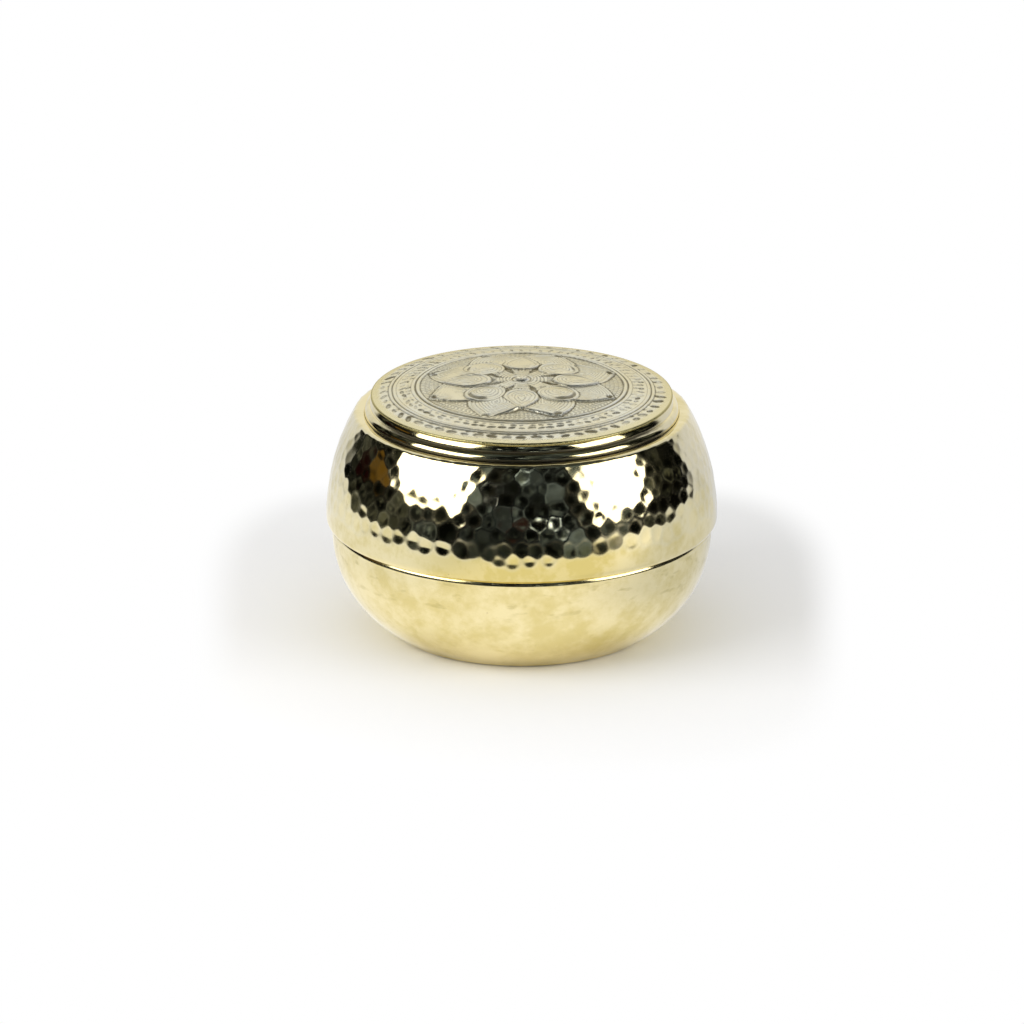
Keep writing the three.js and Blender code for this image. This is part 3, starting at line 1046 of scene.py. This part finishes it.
def hammered_brass(nodes):
    """Polished brass: mirror-bright inside the hammer's dishes, a little worn and paler along their ridges.

    Its smooth lower band is rubbed warm, and shade is painted on the front of the ledge beside the collar.
    """
    broad = nodes.noise(14 * MM, roughness=0.55, seed=5.2)
    small = nodes.noise(3.2 * MM, detail=4.0, roughness=0.6, seed=9.4)
    smudge = nodes.ramp(broad * 0.6 + small * 0.4, 0.43, 0.66)
    x, y, z = nodes.parts(nodes.place())
    rubbed = (1 - nodes.ramp(z, *RUBBED_HEIGHT)) * nodes.window(x, *RUBBED_WIDTH, soft=10 * MM)
    warmth = (smudge * 0.6 + rubbed * 0.68).math("MINIMUM", 1.0)
    colour = nodes.blend(warmth, BRASS, BRASS_WARM)
    ridge = nodes.ramp(nodes.stored("ridge"), 0.2, 1.0)
    colour = nodes.blend(ridge * 0.25, colour, BRASS_PALE)
    colour = specked(nodes, colour, 0.4, seed=2.9)
    radius = (x * x + y * y).math("SQRT")
    # Painted shade on the ledge beside the collar, on the front only
    ledge = nodes.ramp(z, *LEDGE_HEIGHT) * nodes.ramp(y * -1.0, *SHADED_FRONT)
    dirt_and_shade = ledge * (1 - nodes.ramp(radius + small * 1.2 * MM, *LEDGE_SHADE_EDGE))
    colour = nodes.blend(dirt_and_shade * 0.85, colour, CREASE_SHADE_COLOUR)
    return {
        "Base Color": colour,
        "Roughness": 0.03 + small * 0.03 + smudge * 0.02 + ridge * 0.07 + dirt_and_shade * 0.25,
        "Normal": nodes.bump(small, POLISH_RELIEF, strength=0.25),
    }


def turned_brass(nodes):
    """Brass turned on a lathe and polished, with fine level lines, and painted shade at the front of its foot
    and its crease.
    """
    lines = nodes.noise(1.1 * MM, detail=2.0, roughness=0.6, stretch=(0.06, 0.06, 6.0), seed=4.4)
    patches = nodes.noise(7 * MM, detail=4.0, roughness=0.6, seed=8.8)
    smudge = nodes.ramp(patches, 0.45, 0.7)
    _, y, z = nodes.parts(nodes.place())
    uneven = z + patches * 0.8 * MM - 0.4 * MM
    foot = 1 - nodes.ramp(uneven, *FOOT_SHADE_HEIGHT)
    crease = nodes.window(uneven, CREASE_HEIGHT - 0.3 * MM, CREASE_HEIGHT + 0.5 * MM, soft=0.2 * MM)
    # Painted shade: the foot and the crease are darkened and roughened on the front only
    dirt_and_shade = foot.math("MAXIMUM", crease) * nodes.ramp(y * -1.0, *SHADED_FRONT)
    colour = nodes.blend(smudge * 0.5, BRASS, BRASS_WARM)
    colour = nodes.blend(dirt_and_shade * 0.92, colour, CREASE_SHADE_COLOUR)
    return {
        "Base Color": colour,
        "Roughness": 0.07 + smudge * 0.06 + dirt_and_shade * 0.3,
        "Normal": nodes.bump(lines, POLISH_RELIEF, strength=0.4),
    }


def strip_brass(nodes):
    """Satin strip brass, rubbed up and down by the lid."""
    rubs = nodes.noise(1.4 * MM, roughness=0.6, stretch=(4.0, 4.0, 0.3), seed=6.1)
    smudge = nodes.ramp(nodes.noise(9 * MM, detail=4.0, roughness=0.6, seed=2.2), 0.4, 0.7)
    return {
        "Base Color": nodes.blend(smudge * 0.6, BRASS_WARM, BRASS_DULL),
        "Roughness": 0.24 + rubs * 0.12,
        "Normal": nodes.bump(rubs, 0.03 * MM, strength=0.35),
    }


SILVER = (0.99, 0.925, 0.685, 1)
SILVER_PALE = (1.0, 0.985, 0.84, 1)
SILVER_EDGE = (0.8, 0.74, 0.56, 1)
SILVER_YELLOW = (0.93, 0.85, 0.53, 1)
PLATE_OLIVE = (0.56, 0.49, 0.22, 1)
TARNISH_AND_SHADE = (0.13, 0.1, 0.03, 1)
# Shares of the plate's radius over which its margin turns yellow and its cut edge turns olive
YELLOW_FROM = (0.93, 0.965)
OLIVE_FROM = (0.986, 0.997)
HATCH_STROKES = 124
HATCH_ROW = 1.35 * MM
GRAIN_SPACING = 1.05 * MM
GRAIN_START = (1.2 * MM, 1.7 * MM)


def aged_silver(nodes):
    """Nickel silver, satin on its face, dark and less metallic in its hollows, and yellower at its margin.

    Where the ground is hatched, short strokes stand in zigzag rows: a sine of the turn, whose phase runs
    back and forth with the radius. Inside the petals, fine lines follow the outline: a sine of the depth
    inside it.
    """
    x, y, _ = nodes.parts(nodes.place())
    radius = (x * x + y * y).math("SQRT")
    share = radius / PLATE_RADIUS
    turn = y.math("ARCTAN2", x)
    broad = nodes.noise(11 * MM, detail=4.0, roughness=0.6, seed=3.7)
    fine = nodes.noise(1.3 * MM, detail=4.0, roughness=0.65, seed=1.9)
    colour = nodes.blend(nodes.ramp(broad * 0.6 + fine * 0.4, 0.4, 0.62), SILVER, SILVER_PALE)
    margin = nodes.ramp(share, *YELLOW_FROM)
    colour = nodes.blend(margin * 0.85, colour, SILVER_YELLOW)
    colour = nodes.blend(nodes.ramp(share, *OLIVE_FROM), colour, PLATE_OLIVE)
    zigzag = (radius / HATCH_ROW).math("PINGPONG", 1.0)
    strokes = (turn * HATCH_STROKES + zigzag * 3.0 + broad * 5.0 + fine * 2.6).math("SINE")
    between_rows = nodes.ramp((zigzag - 0.5).math("ABSOLUTE"), 0.34, 0.46)
    hollows = nodes.ramp(strokes, -0.3, 0.7).math("MAXIMUM", between_rows) * nodes.stored("hatching")
    grain = nodes.stored("grain")
    lines = (grain / GRAIN_SPACING * math.tau + broad * 9.0 + fine * 4.5).math("SINE")
    lines = nodes.ramp(lines, 0.0, 0.95) * nodes.ramp(grain, *GRAIN_START) * nodes.ramp(broad, 0.3, 0.5)
    # The stored darkness is tarnish in the chased lines, and painted shade on the bosses' steep walls
    tarnish_and_shade = nodes.stored("tarnish_and_shade")
    dirt_and_shade = nodes.ramp(tarnish_and_shade + fine * 0.6 - 0.3 + hollows * 0.3 + lines * 0.44, 0.12, 1.0)
    colour = nodes.blend(dirt_and_shade * 0.88, colour, TARNISH_AND_SHADE)
    return {
        "Base Color": colour,
        "Metallic": 1 - dirt_and_shade * 0.4,
        "Specular Tint": SILVER_EDGE,
        "Roughness": 0.24 + fine * 0.1 + dirt_and_shade * 0.18 - margin * 0.06,
        "Normal": nodes.bump(fine * 0.8 - hollows - lines * 0.9, 0.24 * MM, strength=0.8),
    }


SOLDER_DARK = (0.5, 0.49, 0.45, 1)
SOLDER_LIGHT = (0.66, 0.65, 0.6, 1)


def soft_solder(nodes):
    """Dull grey solder with a wrinkled skin."""
    skin = nodes.noise(1.3 * MM, detail=4.0, roughness=0.6, seed=5.5)
    return {
        "Base Color": nodes.blend(nodes.ramp(skin, 0.35, 0.7), SOLDER_DARK, SOLDER_LIGHT),
        "Roughness": 0.38 + skin * 0.2,
        "Normal": nodes.bump(skin, 0.1 * MM, strength=0.5),
    }


# Assembly

spun = metal("spun brass", spun_brass)
hammered = metal("hammered brass", hammered_brass)
turned = metal("turned brass", turned_brass)
strip = metal("strip brass", strip_brass)
silver = metal("aged nickel silver", aged_silver)
solder = metal("soft solder", soft_solder)

sleeve_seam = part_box("sleeve_solder")[1]
collar_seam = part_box("collar_solder")[1]
plate_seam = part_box("plate_solder")[1]

FITTED = (
    (make_bowl(), spun, "lower_body", "bowl", "spun_brass"),
    (make_sleeve(), strip, "lower_body", "locating_sleeve", "sleeve_brass"),
    (make_fillet("sleeve_seam", sleeve_seam.x, SLEEVE_BOTTOM - JOINT_GAP, seed=1), solder,
     "lower_body", "sleeve_solder", "soft_solder"),
    (make_dome(), hammered, "lid", "lid_dome", "hammered_brass"),
    (make_collar(), turned, "lid", "neck_collar", "turned_brass"),
    (make_fillet("collar_seam", collar_seam.x, collar_seam.z, seed=2), solder,
     "lid", "collar_solder", "soft_solder"),
    (make_plate(), silver, "lid", "chased_plate", "aged_nickel_silver"),
    (make_fillet("plate_seam", plate_seam.x, plate_seam.z, seed=3), solder,
     "lid", "plate_solder", "soft_solder"),
)
for piece, finish, body, node, slot in FITTED:
    piece.data.materials.append(finish)
    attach(piece, body)
    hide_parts(node)


# Camera: the photograph's view, from far off and 19 degrees above the table

CAMERA_ELEVATION = math.radians(19.3)
CAMERA_DISTANCE = 8.0
VIEW_WIDTH = 314.3 * MM
SENSOR_WIDTH = 36.0
AIM = (-2.98 * MM, 0, 36.7 * MM)

camera_data = bpy.data.cameras.new("camera")
camera_data.sensor_width = SENSOR_WIDTH
camera_data.lens = SENSOR_WIDTH * CAMERA_DISTANCE / VIEW_WIDTH
camera_data.clip_start = 0.1
camera_data.clip_end = 20
camera = bpy.data.objects.new("camera", camera_data)
camera.location = (
    AIM[0],
    AIM[1] - CAMERA_DISTANCE * math.cos(CAMERA_ELEVATION),
    AIM[2] + CAMERA_DISTANCE * math.sin(CAMERA_ELEVATION),
)
camera.rotation_euler = (math.pi / 2 - CAMERA_ELEVATION, 0, 0)
bpy.context.scene.collection.objects.link(camera)
bpy.context.scene.camera = camera


# Studio: a white table, a white backdrop behind it, and a dark room around, lit by two softboxes

# Where the table and the backdrop end for the metal that mirrors them, and how softly
TABLE_FRONT = -0.33
TABLE_LEFT = -0.37
TABLE_RIGHT = 0.6
BACKDROP_LEFT = math.radians(43)
BACKDROP_RIGHT = math.radians(57)
BACKDROP_TOP = math.radians(57)
TABLE_EDGE_SOFT = 0.006
BACKDROP_EDGE_SOFT = 0.04
BACKDROP_FOOT_SOFT = 0.1
BACKDROP_TOP_SOFT = (0.04, 0.12)
FLOOR_SIZE = 12.0
FLOOR_WHITE = (0.97, 0.97, 0.97, 1)
WHITE = (1, 1, 1, 1)
# How far off the floor turns pure white, how much narrower that is sideways, and how much nearer in the metal
SHADOWS_FADE = (0.116, 0.14)
SHADOWS_SHAPE = 1.38
MIRRORED_FADE = 0.075
# The colours of the table and the backdrop in the metal, and where each passes into the next:
# metres across and along the table, and radians round the box from straight behind it
MIRRORED_TABLE = (1.0, 0.99, 0.98, 1)
MIRRORED_TABLE_LEFT = (0.85, 0.87, 0.94, 1)
MIRRORED_TABLE_RIGHT = (0.66, 0.68, 0.74, 1)
MIRRORED_BACKDROP = (0.84, 0.84, 0.84, 1)
MIRRORED_BACKDROP_LEFT = (0.7, 0.725, 0.82, 1)
MIRRORED_BACKDROP_RIGHT = (0.63, 0.66, 0.8, 1)
TABLE_LEFT_BLEND = (-0.15, -0.04)
TABLE_RIGHT_BLEND = (0.015, 0.09)
TABLE_RIGHT_DEPTH_BLEND = (-0.15, -0.03)
TABLE_BACK_BLEND = (0.05, 0.3)
BACKDROP_LEFT_BLEND = (-0.6, -0.15)
BACKDROP_RIGHT_BLEND = (0.2, 0.85)
STUDIO_HEIGHT = 0.05
SOFTBOX_DISTANCE = 0.7
SOFTBOX_RADIANCE = 3.0
AMBIENT = 0.668

ROOM_DARK = (0.0014, 0.0018, 0.0016, 1)
ROOM_LIGHT = (0.26, 0.33, 0.41, 1)
ROOM_SIDE = (0.19, 0.205, 0.19, 1)
CLUTTER_SCALE = 6.5
BLOCK_SCALE = 5.5
# In radians: azimuths and elevations of the room's dark stretch ahead, and where its sides and ceiling start
DARK_AHEAD = (-0.8, 0.14)
DARK_AHEAD_RISE = (-0.16, 0.06)
SIDES_BLEND = (0.7, 1.5)
CEILING_BLEND = (0.7, 1.0)
CEILING_SIDES_BLEND = (0.3, 0.9)
THING_EDGE_SOFT = 0.008
# Things in the room: azimuths and elevations in degrees, and a colour
ROOM_THINGS = (
    (-110, -93, 7, 13, (0.11, 0.062, 0.01, 1)),
    (-124, -111, 1, 9, (0.008, 0.0015, 0.0018, 1)),
    (-93, -88, 3, 11, (0.002, 0.002, 0.002, 1)),
    (-8, 4, 6, 12, (0.022, 0.011, 0.01, 1)),
    (82, 118, -5, 4, (0.002, 0.002, 0.002, 1)),
    (-18, -16, 21, 23, (1.6, 1.8, 2.4, 1)),
    (8.5, 11, 5, 8.5, (1.6, 1.9, 2.4, 1)),
    (21.5, 24, 6, 10, (1.6, 1.9, 2.4, 1)),
    (-2, 2, 36, 39, (1.2, 1.5, 2.0, 1)),
    (46, 66, -9, -1, (0.36, 0.36, 0.38, 1)),
)


def softbox(name, azimuth, elevation, width, height, lean, radiance):
    """A soft lamp that faces the box. Azimuth is in degrees from the camera's side, towards +X.

    `lean` tips its top sideways in its own plane.
    """
    lamp = bpy.data.lights.new(name, "AREA")
    lamp.shape = "RECTANGLE"
    lamp.size = 2 * SOFTBOX_DISTANCE * math.tan(math.radians(width / 2))
    lamp.size_y = 2 * SOFTBOX_DISTANCE * math.tan(math.radians(height / 2))
    lamp.energy = radiance * math.pi * lamp.size * lamp.size_y
    holder = bpy.data.objects.new(name, lamp)
    turn, rise = math.radians(azimuth), math.radians(elevation)
    holder.location = (
        SOFTBOX_DISTANCE * math.sin(turn) * math.cos(rise),
        -SOFTBOX_DISTANCE * math.cos(turn) * math.cos(rise),
        STUDIO_HEIGHT + SOFTBOX_DISTANCE * math.sin(rise),
    )
    facing = mathutils.Euler((math.pi / 2 - rise, 0, turn)).to_matrix()
    holder.rotation_euler = (facing @ mathutils.Matrix.Rotation(math.radians(lean), 3, "Z")).to_euler()
    holder.visible_camera = False
    bpy.context.scene.collection.objects.link(holder)


softbox("softbox_left", -60.5, 28.5, 47, 33, 1, 1.05 * SOFTBOX_RADIANCE)
softbox("softbox_right", 61, 21.5, 38, 30, 4, 0.85 * SOFTBOX_RADIANCE)


def room_colour(nodes, direction):
    """The dark room that the metal mirrors: soft clutter, blocks of furniture and a few lit things.

    The direction is turned into an azimuth from the camera's side, towards +X, and an elevation.
    """
    x, y, z = nodes.parts(direction)
    azimuth = x.math("ARCTAN2", y * -1.0)
    rise = z.math("ARCSINE")
    clutter = nodes.node("ShaderNodeTexNoise", inputs={
        "Vector": direction, "Scale": CLUTTER_SCALE, "Detail": 3.0, "Roughness": 0.6})
    blocks = nodes.node("ShaderNodeTexVoronoi", {"distance": "CHEBYCHEV"},
                        {"Vector": direction, "Scale": BLOCK_SCALE}, output="Color")
    block = nodes.parts(blocks)[0]
    level = nodes.ramp(clutter, 0.51, 0.74) * 0.55 + block.math("POWER", 8.0) * 0.65
    ahead = nodes.window(azimuth, *DARK_AHEAD, soft=0.08) * nodes.window(rise, *DARK_AHEAD_RISE, soft=0.05)
    aside = nodes.ramp(azimuth.math("ABSOLUTE"), *SIDES_BLEND)
    ceiling = nodes.ramp(rise, *CEILING_BLEND) * nodes.ramp(azimuth.math("ABSOLUTE"), *CEILING_SIDES_BLEND)
    light = nodes.blend(aside, ROOM_LIGHT, ROOM_SIDE)
    colour = nodes.blend(level * (1 - ahead * 0.85) + ceiling * 0.14, ROOM_DARK, light)
    for left, right, low, high, shade in ROOM_THINGS:
        left, right, low, high = np.radians([left, right, low, high]).tolist()
        across = nodes.window(azimuth, left, right, THING_EDGE_SOFT)
        there = across * nodes.window(rise, low, high, THING_EDGE_SOFT)
        colour = nodes.blend(there * (1 - nodes.ramp(clutter, 0.5, 0.66) * 0.5), colour, shade)
    return colour


def backdrop_mask(nodes, x, y, soft):
    """1 where a place or direction lies within the backdrop's width, which reaches further to the right."""
    from_back = x.math("ARCTAN2", y)
    return nodes.window(from_back, -BACKDROP_LEFT, BACKDROP_RIGHT, soft)


def mirrored_backdrop(nodes, x, y):
    """The backdrop's colour in the metal: dimmer and bluer towards its two ends."""
    from_back = x.math("ARCTAN2", y)
    past_left = nodes.ramp(from_back, *BACKDROP_LEFT_BLEND)
    colour = nodes.blend(past_left, MIRRORED_BACKDROP_LEFT, MIRRORED_BACKDROP)
    return nodes.blend(nodes.ramp(from_back, *BACKDROP_RIGHT_BLEND), colour, MIRRORED_BACKDROP_RIGHT)


def mirrored_table(nodes, x, y):
    """The table's colour in the metal: dimmer and bluer to both sides, and the backdrop's further back."""
    colour = nodes.blend(nodes.ramp(x, *TABLE_LEFT_BLEND), MIRRORED_TABLE_LEFT, MIRRORED_TABLE)
    right = nodes.ramp(x, *TABLE_RIGHT_BLEND) * nodes.ramp(y, *TABLE_RIGHT_DEPTH_BLEND)
    colour = nodes.blend(right, colour, MIRRORED_TABLE_RIGHT)
    return nodes.blend(nodes.ramp(y, *TABLE_BACK_BLEND), colour, mirrored_backdrop(nodes, x, y))


def floor_finish():
    """A white floor with the box's shadows on it, which passes into pure white further off.

    The distance that it passes over by is (wide^4 + deep^4)^(1/4), so the bounds are a rounded rectangle.
    Metal sees the table end in a dark room, shown on the floor as it looks from a little above the table.
    """
    material = bpy.data.materials.new("white table")
    material.use_nodes = True
    tree = material.node_tree
    tree.nodes.clear()
    nodes = Nodes(tree)
    place = nodes.place()
    x, y, _ = nodes.parts(place)
    wide = x * x * SHADOWS_SHAPE**2
    deep = y * y
    away = (wide * wide + deep * deep).math("POWER", 0.25)
    seen, mirrored = nodes.ray_kinds("Is Camera Ray", "Is Glossy Ray")
    lit = nodes.node("ShaderNodeBsdfDiffuse", inputs={"Color": FLOOR_WHITE})
    shade = nodes.blend(mirrored, WHITE, mirrored_table(nodes, x, y))
    white = nodes.node("ShaderNodeEmission", inputs={"Color": shade, "Strength": 1.0})
    studio_centre = (0, 0, STUDIO_HEIGHT)
    raised = nodes.node("ShaderNodeVectorMath", {"operation": "SUBTRACT"}, {0: place, 1: studio_centre})
    direction = nodes.node("ShaderNodeVectorMath", {"operation": "NORMALIZE"}, {0: raised})
    room = nodes.node("ShaderNodeEmission", inputs={"Color": room_colour(nodes, direction), "Strength": 1.0})
    whiteness = nodes.ramp(away + mirrored * MIRRORED_FADE, *SHADOWS_FADE) * (seen + mirrored)
    shown = nodes.node("ShaderNodeMixShader", inputs={0: whiteness, 1: lit, 2: white})
    room_side = 1 - backdrop_mask(nodes, x, y, BACKDROP_FOOT_SOFT)
    on_table = nodes.window(x, TABLE_LEFT, TABLE_RIGHT, TABLE_EDGE_SOFT)
    on_table = on_table * nodes.ramp(y, TABLE_FRONT - TABLE_EDGE_SOFT, TABLE_FRONT + TABLE_EDGE_SOFT)
    in_room = (1 - on_table) * room_side * mirrored
    result = nodes.node("ShaderNodeMixShader", inputs={0: in_room, 1: shown, 2: room})
    output = tree.nodes.new("ShaderNodeOutputMaterial")
    tree.links.new(result.socket, output.inputs["Surface"])
    return material


def make_floor():
    """One large square, which is stage and no piece of the box."""
    half = FLOOR_SIZE / 2
    corners = [(-half, -half, 0), (half, -half, 0), (half, half, 0), (-half, half, 0)]
    mesh = bpy.data.meshes.new("floor")
    mesh.from_pydata(corners, [], [(0, 1, 2, 3)])
    mesh.materials.append(floor_finish())
    floor = bpy.data.objects.new("floor", mesh)
    bpy.context.scene.collection.objects.link(floor)


def make_world():
    """White to the camera, a plain level to matt surfaces, and to metal a dark room with a white backdrop."""
    world = bpy.data.worlds.new("studio")
    world.use_nodes = True
    world.cycles.sampling_method = "NONE"
    tree = world.node_tree
    tree.nodes.clear()
    nodes = Nodes(tree)
    direction = nodes.node("ShaderNodeTexCoord", output="Generated")
    x, y, z = nodes.parts(direction)
    rise = z.math("ARCSINE")
    soft_below, soft_above = BACKDROP_TOP_SOFT
    above = nodes.ramp(rise, BACKDROP_TOP - soft_below, BACKDROP_TOP + soft_above)
    backdrop = backdrop_mask(nodes, x, y, BACKDROP_EDGE_SOFT) * (1 - above)
    studio = nodes.blend(backdrop, room_colour(nodes, direction), mirrored_backdrop(nodes, x, y))
    seen, mirrored = nodes.ray_kinds("Is Camera Ray", "Is Glossy Ray")
    colour = nodes.blend(mirrored, (AMBIENT, AMBIENT, AMBIENT, 1), studio)
    colour = nodes.blend(seen, colour, WHITE)
    background = nodes.node("ShaderNodeBackground", inputs={"Color": colour, "Strength": 1.0})
    output = tree.nodes.new("ShaderNodeOutputWorld")
    tree.links.new(background.socket, output.inputs["Surface"])
    bpy.context.scene.world = world


make_floor()
make_world()
bpy.context.scene.view_settings.view_transform = "Standard"
